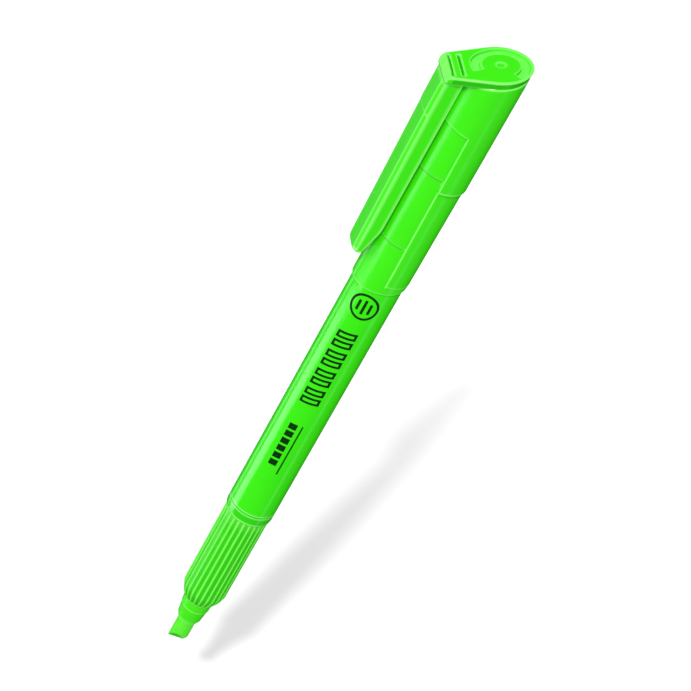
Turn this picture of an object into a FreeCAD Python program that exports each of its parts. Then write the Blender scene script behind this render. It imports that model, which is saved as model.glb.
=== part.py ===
import FreeCAD, Part
import math
import os

# Pocket highlighter with its cap pushed onto the tail, in millimetres.
# +Z runs along the pen from the nib to the cap, the clip points to -X, and the
# chisel nib's foremost edge is at z = 0 with the pen's axis on the Z axis.
V = FreeCAD.Vector
AXIS = V(0, 0, 1)
ORIGIN = V(0, 0, 0)

# Barrel
BARREL_R = 5.10
BARREL_BORE_R = 4.30
BARREL_Z0 = 40.1
BARREL_Z1 = 129.8
FACE_R = 4.80                # radius of the flat front face, before its bevel
BEVEL_LEN = 0.9
GROOVE_Z = 42.8              # snap groove; the cap's mouth reaches it when the nib is covered
GROOVE_W = 0.40
GROOVE_DEPTH = 0.12
TAIL_R = 4.80                # reduced tail that the cap slides over
TAPER_Z0 = 103.6             # end of the plain barrel, just below the pushed-on cap's mouth
TAPER_Z1 = 107.8
TAIL_CHAMFER = 0.3

# Grip section
NOSE_Z0 = 6.8
NOSE_LIP_R = 2.30
NOSE_STEP_Z = 7.5
NOSE_R0 = 2.66
NOSE_RING_Z = 11.1
NOSE_RING_STEP = 0.10
NOSE_R1 = 3.30
SHOULDER_Z0 = 13.5
SHOULDER_Z1 = 17.1
SHOULDER_CURVE = 1.6         # 1 gives a straight cone, more gives a rounder shoulder
GRIP_R = 4.80
GRIP_GAP = 0.05              # seam between the ribs and the barrel's face
RIBS = 24
RIB_DUTY = 0.5               # share of the pitch that a rib takes
RIB_HEIGHT = 0.22
SPIGOT_Z1 = 50.0
CHAMBER_Z0 = 24.0
CHAMBER_R = 3.65

# Nib
NIB_R = 1.98
NIB_BORE_R = 2.00
NIB_Z1 = 29.0
NIB_POINT_LEN = 1.5
NIB_POINT_R = 1.0
NIB_TURN = -25.0             # direction of the chisel edge about Z, degrees from +X
NIB_EDGE_RISE = 2.2          # how much the chisel edge climbs across the nib
NIB_EDGE_HALF = 0.35         # half thickness of the chisel edge
NIB_FACET_ANGLE = 30.0       # each facet's angle to the axis

# Ink reservoir and its film
INK_R = 3.50
FILM_R = 3.60
INK_Z0 = 25.5
INK_Z1 = 124.0
FILM_INSET = 1.0
INK_SOCKET_R = 2.02

# Tail plug
PLUG_Z0 = 120.5
PLUG_SLEEVE_Z1 = 124.2
PLUG_HEAD_R = 4.60
PLUG_Z1 = 132.9
PLUG_ROUND = 0.9

# Cap shell
MOUTH_Z = 104.9
MOUTH_SLOPE = 0.15           # rise of the mouth's plane per millimetre away from the clip
FLOOR_R = [5.42, 5.50, 5.60]  # outside of the window panel, mouth band first
FLOOR_STEPS_Z = [116.1, 132.9]
SKIN_X = -0.55               # the raised skin covers everything beyond this plane
SKIN_Z0 = 106.8
SKIN_R0 = 5.52
SKIN_R1 = 5.66
SKIN_STEP_Z = 129.6
SKIN_STEP_LEN = 1.2
CROWN_R = 6.00               # full-round upper part
CROWN_Z = 143.0
CROWN_SLOPE = -0.20
TOP_Z = 156.6
TOP_SLOPE = 0.36
TOP_WALL = 1.7
TOP_BEVEL = 0.3
CAP_BORE_R = 4.86
MOUTH_BORE_R = 5.16
MOUTH_BORE_LEN = 3.2
MOUTH_LEAD = 0.5
LOW_BEAD_Z = 133.0
BEAD_LEN = 0.3
LOW_BEAD_R = 4.62
HIGH_BEAD_Z = 134.9
HIGH_BEAD_R = 4.50

# Cap top: a teardrop plate with a crescent recess and two thumb grooves
LIP_X = -9.6
LIP_HALF = 4.0
PLATE_THICK = 1.4
DISC_R = 3.5
CRESCENT_R = 5.2
CRESCENT_X = 0.25
CRESCENT_DEPTH = 0.7
CRESCENT_START = -57.0
CRESCENT_SWEEP = 257.0
THUMB_GROOVES_X = [-8.4, -6.6]
THUMB_GROOVE_W = 0.55
THUMB_GROOVE_DEPTH = 0.3
THUMB_GROOVE_HALF = 3.3

# Clip
CLIP_TIP_Z = 110.6
CLIP_TIP_X = -8.95
CLIP_STEP_Z = 143.7
CLIP_STEP_X = -9.42
CLIP_HALF0 = 3.30
CLIP_HALF1 = 3.50
CLIP_INNER_X = -5.75
CLIP_WALL = 0.9
CLIP_FACE = 1.2
CLIP_RAMP_Z = 118.2
CLIP_SOLID_Z = 115.5
CLIP_GAP = 0.03              # seam between the clip's top and the plate

# Inner cap
LINER_Z0 = 133.35
LINER_FLANGE_LEN = 1.5
LINER_FLANGE_R = 4.80
LINER_R = 4.20
LINER_BORE_R = 3.42
LINER_MOUTH_R = 4.35
LINER_CONE_LEN = 1.0
LINER_Z1 = 150.2
LINER_ROOF = 1.0

FAR = 40.0                   # half size of the blocks that stand for half-spaces


def polygon_face(points):
    """A face bounded by straight edges through points."""
    return Part.Face(Part.makePolygon(points + [points[0]]))


def turned(profile, angle=360.0, start=0.0):
    """Revolve (radius, z) points about Z, starting at an angle from +X."""
    face = polygon_face([V(r, 0, z) for r, z in profile])
    solid = face.revolve(ORIGIN, AXIS, angle)
    solid.rotate(ORIGIN, AXIS, start)
    return solid


def ring(inner, outer, z0, z1):
    """A plain tube between two heights."""
    return turned([(inner, z0), (outer, z0), (outer, z1), (inner, z1)])


def below_plane(z_at_axis, slope):
    """Everything under the plane z = z_at_axis + slope * x."""
    low = z_at_axis - 4 * FAR
    face = polygon_face([
        V(-FAR, -FAR, low),
        V(FAR, -FAR, low),
        V(FAR, -FAR, z_at_axis + slope * FAR),
        V(-FAR, -FAR, z_at_axis - slope * FAR),
    ])
    return face.extrude(V(0, 2 * FAR, 0))


def above_plane(z_at_axis, slope):
    """Everything over the plane z = z_at_axis + slope * x."""
    high = z_at_axis + 4 * FAR
    face = polygon_face([
        V(-FAR, -FAR, high),
        V(FAR, -FAR, high),
        V(FAR, -FAR, z_at_axis + slope * FAR),
        V(-FAR, -FAR, z_at_axis - slope * FAR),
    ])
    return face.extrude(V(0, 2 * FAR, 0))


def slab(z_at_axis, slope, thick):
    """The space between a sloped plane and its copy lowered by thick."""
    return below_plane(z_at_axis, slope).common(above_plane(z_at_axis - thick, slope))


def barrel():
    return turned([
        (BARREL_BORE_R, BARREL_Z0),
        (FACE_R, BARREL_Z0),
        (BARREL_R, BARREL_Z0 + BEVEL_LEN),
        (BARREL_R, GROOVE_Z - GROOVE_W / 2),
        (BARREL_R - GROOVE_DEPTH, GROOVE_Z),
        (BARREL_R, GROOVE_Z + GROOVE_W / 2),
        (BARREL_R, TAPER_Z0),
        (TAIL_R, TAPER_Z1),
        (TAIL_R, BARREL_Z1 - TAIL_CHAMFER),
        (TAIL_R - TAIL_CHAMFER, BARREL_Z1),
        (BARREL_BORE_R, BARREL_Z1),
    ])


def shoulder_points(reduce):
    """Curved shoulder from the nose up to the grip, lowered by reduce."""
    points = []
    steps = 8
    for i in range(steps + 1):
        rise = 1 - (1 - i / steps) ** SHOULDER_CURVE
        r = NOSE_R1 + (GRIP_R - reduce - NOSE_R1) * rise
        z = SHOULDER_Z0 + (SHOULDER_Z1 - SHOULDER_Z0) * i / steps
        points.append((r, z))
    return points


def grip_section():
    top = BARREL_Z0 - GRIP_GAP
    core = turned([
        (NIB_BORE_R, NOSE_Z0),
        (NOSE_LIP_R, NOSE_Z0),
        (NOSE_LIP_R, NOSE_STEP_Z),
        (NOSE_R0, NOSE_STEP_Z + 0.2),
        (NOSE_R1 - NOSE_RING_STEP - 0.15, NOSE_RING_Z),
        (NOSE_R1 - 0.15, NOSE_RING_Z + 0.1),
    ] + shoulder_points(RIB_HEIGHT) + [
        (GRIP_R - RIB_HEIGHT, top),
        (BARREL_BORE_R, top),
        (BARREL_BORE_R, SPIGOT_Z1),
        (CHAMBER_R, SPIGOT_Z1),
        (CHAMBER_R, CHAMBER_Z0),
        (NIB_BORE_R, CHAMBER_Z0),
    ])
    pitch = 360.0 / RIBS
    width = pitch * RIB_DUTY
    inside = NOSE_R1 - 0.2
    profile = [(inside, SHOULDER_Z0)] + shoulder_points(0.0)[1:] + [(GRIP_R, top), (inside, top)]
    hollow = ring(0.0, CHAMBER_R + 0.3, CHAMBER_Z0 - 1.0, top + 1.0)
    ribs = []
    for i in range(RIBS):
        ribs.append(turned(profile, width, i * pitch - width / 2).cut(hollow))
    return core.fuse(ribs).removeSplitter()


def chisel_nib():
    blank = turned([
        (0, 0),
        (NIB_R, 0),
        (NIB_R, NIB_Z1 - NIB_POINT_LEN),
        (NIB_POINT_R, NIB_Z1),
        (0, NIB_Z1),
    ])
    edge = polygon_face([
        V(-FAR, -FAR, NIB_EDGE_RISE / 2 - FAR * NIB_EDGE_RISE / (2 * NIB_R)),
        V(FAR, -FAR, NIB_EDGE_RISE / 2 + FAR * NIB_EDGE_RISE / (2 * NIB_R)),
        V(FAR, -FAR, -2 * FAR),
        V(-FAR, -FAR, -2 * FAR),
    ]).extrude(V(0, 2 * FAR, 0))
    run = FAR * math.tan(math.radians(NIB_FACET_ANGLE))
    blank = blank.cut(edge)
    for side in (-1, 1):
        facet = polygon_face([
            V(-FAR, side * NIB_EDGE_HALF, 0),
            V(-FAR, side * (NIB_EDGE_HALF + run), FAR),
            V(-FAR, side * 2 * FAR, FAR),
            V(-FAR, side * 2 * FAR, -FAR),
            V(-FAR, side * NIB_EDGE_HALF, -FAR),
        ]).extrude(V(2 * FAR, 0, 0))
        blank = blank.cut(facet)
    blank.rotate(ORIGIN, AXIS, NIB_TURN)
    return blank


def ink_reservoir():
    core = ring(0.0, INK_R, INK_Z0, INK_Z1)
    socket = turned([
        (0, INK_Z0 - 1),
        (INK_SOCKET_R, INK_Z0 - 1),
        (INK_SOCKET_R, NIB_Z1 - NIB_POINT_LEN),
        (NIB_POINT_R, NIB_Z1),
        (0, NIB_Z1),
    ])
    return core.cut(socket)


def reservoir_film():
    return ring(INK_R, FILM_R, INK_Z0 + FILM_INSET, INK_Z1 - FILM_INSET)


def tail_plug():
    arc = []
    steps = 5
    for i in range(steps + 1):
        a = math.pi / 2 * i / steps
        r = PLUG_HEAD_R - PLUG_ROUND + PLUG_ROUND * math.cos(a)
        z = PLUG_Z1 - PLUG_ROUND + PLUG_ROUND * math.sin(a)
        arc.append((r, z))
    return turned([
        (CHAMBER_R, PLUG_Z0),
        (BARREL_BORE_R, PLUG_Z0),
        (BARREL_BORE_R, BARREL_Z1),
        (PLUG_HEAD_R, BARREL_Z1),
    ] + arc + [
        (0, PLUG_Z1),
        (0, PLUG_SLEEVE_Z1),
        (CHAMBER_R, PLUG_SLEEVE_Z1),
    ])


def teardrop(radius, lip_x, lip_half):
    """Plan outline of the cap's top: a circle drawn out to the clip's lip."""
    reach = math.hypot(lip_x, lip_half)
    spread = math.acos(radius / reach)
    corner = math.atan2(lip_half, lip_x)
    tangent = V(radius * math.cos(corner - spread), radius * math.sin(corner - spread), 0)
    mirror = V(tangent.x, -tangent.y, 0)
    lip_a = V(lip_x, lip_half, 0)
    lip_b = V(lip_x, -lip_half, 0)
    round_end = Part.Arc(tangent, V(radius, 0, 0), mirror)
    edges = [
        round_end.toShape(),
        Part.makeLine(mirror, lip_b),
        Part.makeLine(lip_b, lip_a),
        Part.makeLine(lip_a, tangent),
    ]
    return Part.Face(Part.Wire(edges))


def crescent_recess():
    tall = ring(0.0, CRESCENT_R, TOP_Z - 10, TOP_Z + 10)
    disc = ring(0.0, DISC_R, TOP_Z - 11, TOP_Z + 11)
    sector = turned([
        (0, TOP_Z - 12),
        (3 * CRESCENT_R, TOP_Z - 12),
        (3 * CRESCENT_R, TOP_Z + 12),
        (0, TOP_Z + 12),
    ], CRESCENT_SWEEP, CRESCENT_START)
    shape = tall.common(sector).cut(disc)
    shape.translate(V(CRESCENT_X, 0, 0))
    return shape.common(above_plane(TOP_Z - CRESCENT_DEPTH, TOP_SLOPE))


def thumb_groove(x):
    low = TOP_Z + TOP_SLOPE * x - THUMB_GROOVE_DEPTH
    return Part.makeBox(
        THUMB_GROOVE_W,
        2 * THUMB_GROOVE_HALF,
        5.0,
        V(x - THUMB_GROOVE_W / 2, -THUMB_GROOVE_HALF, low),
    )


def top_plate():
    """Sloped teardrop plate with a bevelled edge along its upper rim."""
    column = teardrop(CROWN_R, LIP_X, LIP_HALF).extrude(V(0, 0, 40))
    column.translate(V(0, 0, TOP_Z - 20))
    plate = column.common(slab(TOP_Z - TOP_BEVEL, TOP_SLOPE, PLATE_THICK - TOP_BEVEL))
    small = teardrop(CROWN_R - TOP_BEVEL, LIP_X + TOP_BEVEL, LIP_HALF - TOP_BEVEL / 2)
    inner = small.extrude(V(0, 0, 40))
    inner.translate(V(0, 0, TOP_Z - 20))
    return plate.fuse(inner.common(slab(TOP_Z, TOP_SLOPE, PLATE_THICK)))


def cap_outside():
    low = MOUTH_Z - 2.0
    high = CROWN_Z + 4.0
    panel = turned([
        (0, low),
        (FLOOR_R[0], low),
        (FLOOR_R[0], FLOOR_STEPS_Z[0]),
        (FLOOR_R[1], FLOOR_STEPS_Z[0]),
        (FLOOR_R[1], FLOOR_STEPS_Z[1]),
        (FLOOR_R[2], FLOOR_STEPS_Z[1]),
        (FLOOR_R[2], high),
        (0, high),
    ])
    skin = turned([
        (0, SKIN_Z0),
        (SKIN_R0, SKIN_Z0),
        (SKIN_R1, SKIN_STEP_Z),
        (CROWN_R, SKIN_STEP_Z + SKIN_STEP_LEN),
        (CROWN_R, high),
        (0, high),
    ])
    beyond = Part.makeBox(FAR, 2 * FAR, 2 * FAR, V(SKIN_X, -FAR, MOUTH_Z - 10))
    crown = ring(0.0, CROWN_R, CROWN_Z - 5, TOP_Z + 5)
    crown = crown.common(above_plane(CROWN_Z, CROWN_SLOPE))
    crown = crown.common(below_plane(TOP_Z - PLATE_THICK + 0.5, TOP_SLOPE))
    return panel.fuse([skin.common(beyond), crown, top_plate()])


def cap_inside():
    mouth_end = MOUTH_Z + MOUTH_BORE_LEN
    roof = TOP_Z + 5
    bore = turned([
        (0, MOUTH_Z - 3),
        (MOUTH_BORE_R, MOUTH_Z - 3),
        (MOUTH_BORE_R, mouth_end),
        (CAP_BORE_R, mouth_end + MOUTH_LEAD),
        (CAP_BORE_R, LOW_BEAD_Z),
        (LOW_BEAD_R, LOW_BEAD_Z),
        (LOW_BEAD_R, LOW_BEAD_Z + BEAD_LEN),
        (CAP_BORE_R, LOW_BEAD_Z + BEAD_LEN),
        (CAP_BORE_R, HIGH_BEAD_Z),
        (HIGH_BEAD_R, HIGH_BEAD_Z),
        (HIGH_BEAD_R, HIGH_BEAD_Z + BEAD_LEN),
        (CAP_BORE_R, HIGH_BEAD_Z + BEAD_LEN),
        (CAP_BORE_R, roof),
        (0, roof),
    ])
    return bore.common(below_plane(TOP_Z - TOP_WALL, TOP_SLOPE))


def cap_shell():
    shell = cap_outside().cut(below_plane(MOUTH_Z, MOUTH_SLOPE))
    shell = shell.cut(cap_inside())
    shell = shell.cut(crescent_recess())
    for x in THUMB_GROOVES_X:
        shell = shell.cut(thumb_groove(x))
    return shell.removeSplitter()


def clip_side(inset):
    """Side outline of the clip, shrunk by inset on its outer face."""
    plate_low = TOP_Z - PLATE_THICK - CLIP_GAP
    return [
        V(CLIP_TIP_X + 0.8 + inset, 0, CLIP_TIP_Z),
        V(CLIP_TIP_X + 0.2 + inset, 0, CLIP_TIP_Z + 0.3),
        V(CLIP_TIP_X + inset, 0, CLIP_TIP_Z + 1.2),
        V(CLIP_STEP_X + inset, 0, CLIP_STEP_Z),
        V(LIP_X + 0.1 + inset, 0, CLIP_STEP_Z + 0.2),
        V(LIP_X + 0.1 + inset, 0, plate_low + TOP_SLOPE * (LIP_X + 0.1 + inset)),
        V(CLIP_INNER_X, 0, plate_low + TOP_SLOPE * CLIP_INNER_X),
        V(CLIP_INNER_X, 0, CLIP_RAMP_Z),
        V(CLIP_INNER_X - 1.3, 0, CLIP_TIP_Z + 2.6),
    ]


def cap_clip():
    side = polygon_face(clip_side(0.0)).extrude(V(0, 2 * CLIP_HALF1, 0))
    side.translate(V(0, -CLIP_HALF1, 0))
    z1 = TOP_Z
    front = polygon_face([
        V(-FAR, -1.4, CLIP_TIP_Z),
        V(-FAR, 1.4, CLIP_TIP_Z),
        V(-FAR, CLIP_HALF0 - 0.5, CLIP_TIP_Z + 0.5),
        V(-FAR, CLIP_HALF0, CLIP_TIP_Z + 1.4),
        V(-FAR, CLIP_HALF1, z1),
        V(-FAR, -CLIP_HALF1, z1),
        V(-FAR, -CLIP_HALF0, CLIP_TIP_Z + 1.4),
        V(-FAR, -CLIP_HALF0 + 0.5, CLIP_TIP_Z + 0.5),
    ]).extrude(V(2 * FAR, 0, 0))
    body = side.common(front)
    channel = polygon_face([
        V(CLIP_TIP_X + CLIP_FACE, 0, CLIP_SOLID_Z),
        V(CLIP_STEP_X + CLIP_FACE, 0, CLIP_STEP_Z),
        V(CLIP_STEP_X + CLIP_FACE, 0, TOP_Z),
        V(CLIP_INNER_X + 1, 0, TOP_Z),
        V(CLIP_INNER_X + 1, 0, CLIP_SOLID_Z),
    ]).extrude(V(0, 2 * (CLIP_HALF0 - CLIP_WALL), 0))
    channel.translate(V(0, -(CLIP_HALF0 - CLIP_WALL), 0))
    return body.cut(channel)


def inner_cap():
    flange_z1 = LINER_Z0 + LINER_FLANGE_LEN
    return turned([
        (LINER_MOUTH_R, LINER_Z0),
        (LINER_FLANGE_R, LINER_Z0),
        (LINER_FLANGE_R, flange_z1),
        (LINER_R, flange_z1),
        (LINER_R, LINER_Z1),
        (0, LINER_Z1),
        (0, LINER_Z1 - LINER_ROOF),
        (LINER_BORE_R, LINER_Z1 - LINER_ROOF),
        (LINER_BORE_R, LINER_Z0 + LINER_CONE_LEN),
    ])


NODES = {
    "barrel": barrel,
    "grip_section": grip_section,
    "chisel_nib": chisel_nib,
    "ink_reservoir": ink_reservoir,
    "reservoir_film": reservoir_film,
    "tail_plug": tail_plug,
    "cap_shell": cap_shell,
    "cap_clip": cap_clip,
    "inner_cap": inner_cap,
}


def main():
    os.makedirs("parts", exist_ok=True)
    for name, build in NODES.items():
        shape = build()
        shape.exportStep("parts/" + name + ".step")
        box = shape.BoundBox
        print(name, shape.isValid(), len(shape.Solids), round(shape.Volume, 1),
              [round(v, 2) for v in (box.XMin, box.XMax, box.YMin, box.YMax, box.ZMin, box.ZMax)])


main()
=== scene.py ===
import math

import bmesh
import bpy
from mathutils import Matrix, Vector
from mathutils.kdtree import KDTree


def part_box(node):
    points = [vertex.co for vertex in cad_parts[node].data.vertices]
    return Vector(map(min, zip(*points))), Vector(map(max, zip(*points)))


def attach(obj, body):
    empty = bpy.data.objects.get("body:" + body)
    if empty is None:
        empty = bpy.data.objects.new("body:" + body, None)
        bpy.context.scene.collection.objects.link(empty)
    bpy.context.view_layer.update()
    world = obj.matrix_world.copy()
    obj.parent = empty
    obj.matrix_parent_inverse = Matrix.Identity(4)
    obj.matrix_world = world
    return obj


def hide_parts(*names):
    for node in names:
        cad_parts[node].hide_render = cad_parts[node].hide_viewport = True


# Looks of the pocket highlighter in the frame's own axes: +Z from the nib to the cap, the clip
# towards -X. Lengths on the pen are in millimetres, and meshes are scaled to metres as they are made.
# Lengths of the picture's set-up are in metres, except those of the strips.
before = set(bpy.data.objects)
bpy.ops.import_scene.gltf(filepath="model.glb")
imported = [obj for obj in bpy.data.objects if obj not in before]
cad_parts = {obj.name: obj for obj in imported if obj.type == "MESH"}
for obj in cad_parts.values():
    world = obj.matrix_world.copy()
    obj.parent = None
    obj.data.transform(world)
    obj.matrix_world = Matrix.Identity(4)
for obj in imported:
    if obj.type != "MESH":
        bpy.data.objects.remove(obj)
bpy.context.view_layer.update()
MM = 0.001


def box_mm(node):
    low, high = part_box(node)
    return low / MM, high / MM


BARREL_LOW, BARREL_HIGH = box_mm("barrel")
GRIP_LOW, GRIP_HIGH = box_mm("grip_section")
NIB_HIGH = box_mm("chisel_nib")[1]
CAP_LOW, CAP_HIGH = box_mm("cap_shell")
CLIP_LOW, CLIP_HIGH = box_mm("cap_clip")

# Barrel
BARREL_R = BARREL_HIGH.x
BARREL_BORE = 4.30
BARREL_FACE_R = 4.80
BARREL_BEVEL = 0.9
BARREL_BEVEL_SWELL = (0.10, 0.06)  # how far the bevel's two middle points stay inside the barrel
GROOVE_Z = BARREL_LOW.z + 2.7
GROOVE_HALF = 0.2
GROOVE_DEPTH = 0.12
TAPER_Z = (103.6, 107.8)
TAIL_R = 4.80

# Grip section
NOSE_Z = GRIP_LOW.z
NOSE_BORE = 2.00
NOSE_STEP_Z = NOSE_Z + 0.7
NOSE_RING_Z = NOSE_Z + 4.3
SHOULDER_Z = (NOSE_Z + 6.7, NOSE_Z + 10.3)
NOSE_R = 3.30
SHOULDER_CURVE = 1.6
GRIP_R = GRIP_HIGH.x
GRIP_END_Z = BARREL_LOW.z - 0.05
SPIGOT_R = BARREL_BORE - 0.02
CHAMBER_R = 3.65
CHAMBER_Z = 24.0
RIBS = 24
RIB_HEIGHT = 0.22
RIB_COLUMNS = 20             # columns of the mesh in each rib's pitch
RIB_TOP = 0.07               # half width of a rib's top, as a share of the pitch
RIB_FOOT = 0.30              # half width of its foot
RIB_SHADE = 0.55             # how dark the troughs are

# Nib
NIB_R = NIB_HIGH.x
NIB_TURN = math.radians(-25)
NIB_RISE = 2.2               # how much the chisel edge climbs across the nib
NIB_EDGE_HALF = 0.35
NIB_EDGE_ROUND = 0.16
NIB_FACET = math.tan(math.radians(30))
NIB_ROUND_Z = 9.0            # the nib's rings are level from here on
NIB_POINT_LEN = 1.5
NIB_POINT_R = 1.0
NIB_SIDES = 96

# Cap
CROWN_R = CAP_HIGH.x
PANEL_R = (5.42, 5.50, 5.60)
PANEL_STEPS = (116.1, 132.9)
MOUTH_SLOPE = 0.15
MOUTH_Z = CAP_LOW.z + MOUTH_SLOPE * PANEL_R[0]
MOUTH_BORE = 5.16
MOUTH_BORE_LEN = 3.2
CAP_BORE = 4.86
CAP_BORE_TOP_Z = 135.4       # the bore's rings are level below this
CAP_BORE_LOW_Z = 111.0
SKIN_X = (-0.50, -0.90)      # the skin's edge at the mouth and at the crown
SKIN_Z = MOUTH_Z + 1.9
SKIN_R = (5.52, 5.66)
SKIN_STEP_Z = (129.6, 130.8)
CROWN_Z = 143.0
LEAN_Z = 133.5               # the rings up the side lean more and more from here to the crown
CROWN_SLOPE = -0.20
TOP_SLOPE = 0.36
TOP_BEVEL = 0.3
TOP_CLEAR = 0.03             # keeps the rounded rim inside the solid's box
TOP_Z = CAP_HIGH.z - TOP_SLOPE * (CROWN_R - TOP_BEVEL) - TOP_CLEAR
PLATE = 1.5
PLATE_WAIST = 0.12           # the plate's side is drawn in this far above the crown
RIM_ROUND = 0.28
LIP_ROUND = 1.10
ROOF = 1.7
LIP_X = CAP_LOW.x
LIP_HALF = 4.0
LIP_INSET = 0.10             # the lip's end stays this far inside LIP_X
LIP_SOFT = 1.3               # how far the lip's corners are rounded in plan
DISC_X = 0.25
DISC_R = 3.5
CRESCENT_R = 5.2
CRESCENT_DEPTH = 0.7
CRESCENT_ENDS = (-57.0, 200.0)
CRESCENT_SOFT = 0.06         # half width of the crescent's side walls
CRESCENT_END_SOFT = 0.9      # and of its end walls, in degrees
DIMPLE_R = (0.55, 0.85)
DIMPLE_DEPTH = 0.18
THUMB_X = (-8.4, -6.6)
THUMB_HALF_LEN = 3.3
THUMB_HALF_WIDTH = 0.28
THUMB_DEPTH = 0.3

# Clip
CLIP_TIP_Z = CLIP_LOW.z
CLIP_TOP_X = CLIP_LOW.x
CLIP_TIP_X = CLIP_TOP_X + 0.55
CLIP_STEP_Z = 143.7
CLIP_STEP_X = CLIP_TOP_X + 0.08
CLIP_HALF = (3.30, 3.48)
CLIP_INNER_X = CLIP_HIGH.x
CLIP_TIP_DEPTH = 1.5
CLIP_WALL = 0.9
CLIP_FACE = 1.2
CLIP_CROWN = 0.45            # drop and width of the chamfer along the outer face's edges
CLIP_CHAMFER = 1.25
CLIP_CHANNEL_Z = 115.5
CLIP_RAMP_Z = 117.4
CLIP_TIP_ROUND = 0.7
CLIP_TIP_BOW_LEN = 3.6       # the tip's bow fades out over this length
CLIP_GAP = 0.03              # seam between the clip's top and the plate

# Print: generic marks that face the camera's side of the barrel
PRINT_ANGLE = math.radians(-115)
PRINT_LIFT = 0.015           # height of the ink over the barrel
PRINT_SINK = 0.03            # how deep its edges go, so that no gap shows
PRINT_LINE = 0.50
DASHES = 6
DASH_Z = 57.0
DASH_PITCH = 2.0
DASH = (1.45, -1.3, 0.4, 0.25)  # length, from and to across the barrel, lean
DASH_FILL = 0.70             # outlines this wide leave no gap in the middle
UNDERLINE_Z = 55.4
UNDERLINE = (13.4, 1.22, 1.52, 0.0)
UNDERLINE_FILL = 0.14
BAR_PAIRS = 4
BAR_Z = 74.0
BAR_PITCH = 5.1
BAR_GAP = 2.3
BAR = (1.7, -2.0, 2.0, 0.8)
RING_Z = 100.5
RING_ACROSS = 0.2
RING_R = 3.0
RING_BARS = ((-1.2, 1.2), (0.0, 1.7), (1.2, 1.2))  # each bar's offset and half length
RING_BAR_HALF = 0.27
RING_BAR_FILL = 0.26

# Picture
VIEW_TARGET = Vector((0.65, -0.30, 87.43)) * MM
VIEW_AZIMUTH = math.radians(-25)
VIEW_ELEVATION = math.radians(34)
VIEW_ROLL = math.radians(29.51)
VIEW_DISTANCE = 0.4771
LENS = 127.64                # the lens and the sensor are in millimetres
SENSOR = 36
FLOOR_Z = -0.0393
FLOOR_HALF = 12.0
WORLD_STRENGTH = 0.73
KEY_STRENGTH = 1.79
KEY_SIZE = 3.4               # degrees across: the shadow is crisp at the nib and fades at the cap
KEY_AZIMUTH = -11            # degrees, from the camera's side
KEY_ELEVATION = 43
LEFT_FILL = 0.27             # watts, on the clip's outer face
LEFT_FILL_AZIMUTH = -90
LEFT_FILL_ELEVATION = 15
LEFT_FILL_DISTANCE = 0.4
LEFT_FILL_SIZE = 0.15
SHADOW_FILL = 0.05           # watts, on the floor where the shadow fades out
SHADOW_FILL_REACH = 1.9      # its distance from the pen, in lengths of the shadow of the view's target
SHADOW_FILL_HEIGHT = 0.10
SHADOW_FILL_SIZE = 0.12
# Upright strips, in millimetres: azimuth from the camera's side, half angle, radiance, lowest and
# highest z. They stand low because the camera looks down on the pen.
STRIP_DISTANCE = 150
STRIPS = {
    "broad_strip": (-77, 17, 3.6, -150, 8),
    "narrow_strip": (-117, 6, 1.8, -150, 100),
    "cap_strip": (-50, 10, 3.2, 12, 80),
    "right_strip": (72, 5, 1.0, -150, 80),
}


# ---------------------------------------------------------------- mesh tools

def mesh_object(name, points, faces, material, smooth_angle=40.0, reach=0.15, tone=None):
    """A clean closed mesh from points in millimetres, with painted edge highlight and painted light and
    shade values at every vertex.
    """
    bm = bmesh.new()
    verts = [bm.verts.new(Vector(p) * MM) for p in points]
    for face in faces:
        bm.faces.new([verts[i] for i in face])
    bmesh.ops.remove_doubles(bm, verts=bm.verts, dist=2e-7)
    bmesh.ops.recalc_face_normals(bm, faces=bm.faces)
    mesh = bpy.data.meshes.new(name)
    bm.to_mesh(mesh)
    bm.free()
    mesh.shade_smooth()
    mesh.set_sharp_from_angle(angle=math.radians(smooth_angle))
    mesh.materials.append(material)
    mark_edges(mesh, reach * MM)
    mark_painted_light(mesh, tone)
    obj = bpy.data.objects.new(name, mesh)
    bpy.context.scene.collection.objects.link(obj)
    return obj


HIGHLIGHT_BEND = math.radians(5)  # edges that bend more than this get a painted highlight


def mark_edges(mesh, reach):
    """Painted highlight along convex edges: the attribute is 1 on them and fades within reach."""
    bm = bmesh.new()
    bm.from_mesh(mesh)
    edges = []
    for edge in bm.edges:
        if len(edge.link_faces) == 2 and edge.calc_face_angle_signed(0.0) > HIGHLIGHT_BEND:
            edges.append((edge.verts[0].co + edge.verts[1].co) / 2)
            edges += [v.co.copy() for v in edge.verts]
    tree = KDTree(max(len(edges), 1))
    for i, co in enumerate(edges):
        tree.insert(co, i)
    tree.balance()
    highlight_strength = []
    for v in bm.verts:
        distance = tree.find(v.co)[2] if edges else 1.0
        highlight_strength.append(math.exp(-(distance / reach) ** 2))
    bm.free()
    mesh.attributes.new("painted_edge_highlight", "FLOAT", "POINT").data.foreach_set("value", highlight_strength)


def mark_painted_light(mesh, tone):
    """Painted light and shade: 0 is plain, 1 pale painted light, -1 dark painted shade."""
    values = [tone(*(v.co / MM)) if tone else 0.0 for v in mesh.vertices]
    mesh.attributes.new("tone", "FLOAT", "POINT").data.foreach_set("value", values)


def rings_to_mesh(name, rings, material, closed=False, smooth_angle=40.0, reach=0.15, tone=None):
    """A closed mesh through rings with equal counts: the rings join up, or their ends are capped."""
    count = len(rings[0])
    points = [p for ring in rings for p in ring]
    last = len(rings) if closed else len(rings) - 1
    faces = []
    for r in range(last):
        a = r * count
        b = (r + 1) % len(rings) * count
        faces += [(a + i, a + (i + 1) % count, b + (i + 1) % count, b + i) for i in range(count)]
    if not closed:
        faces.append(tuple(range(count - 1, -1, -1)))
        faces.append(tuple(range(len(points) - count, len(points))))
    return mesh_object(name, points, faces, material, smooth_angle, reach, tone)


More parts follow.
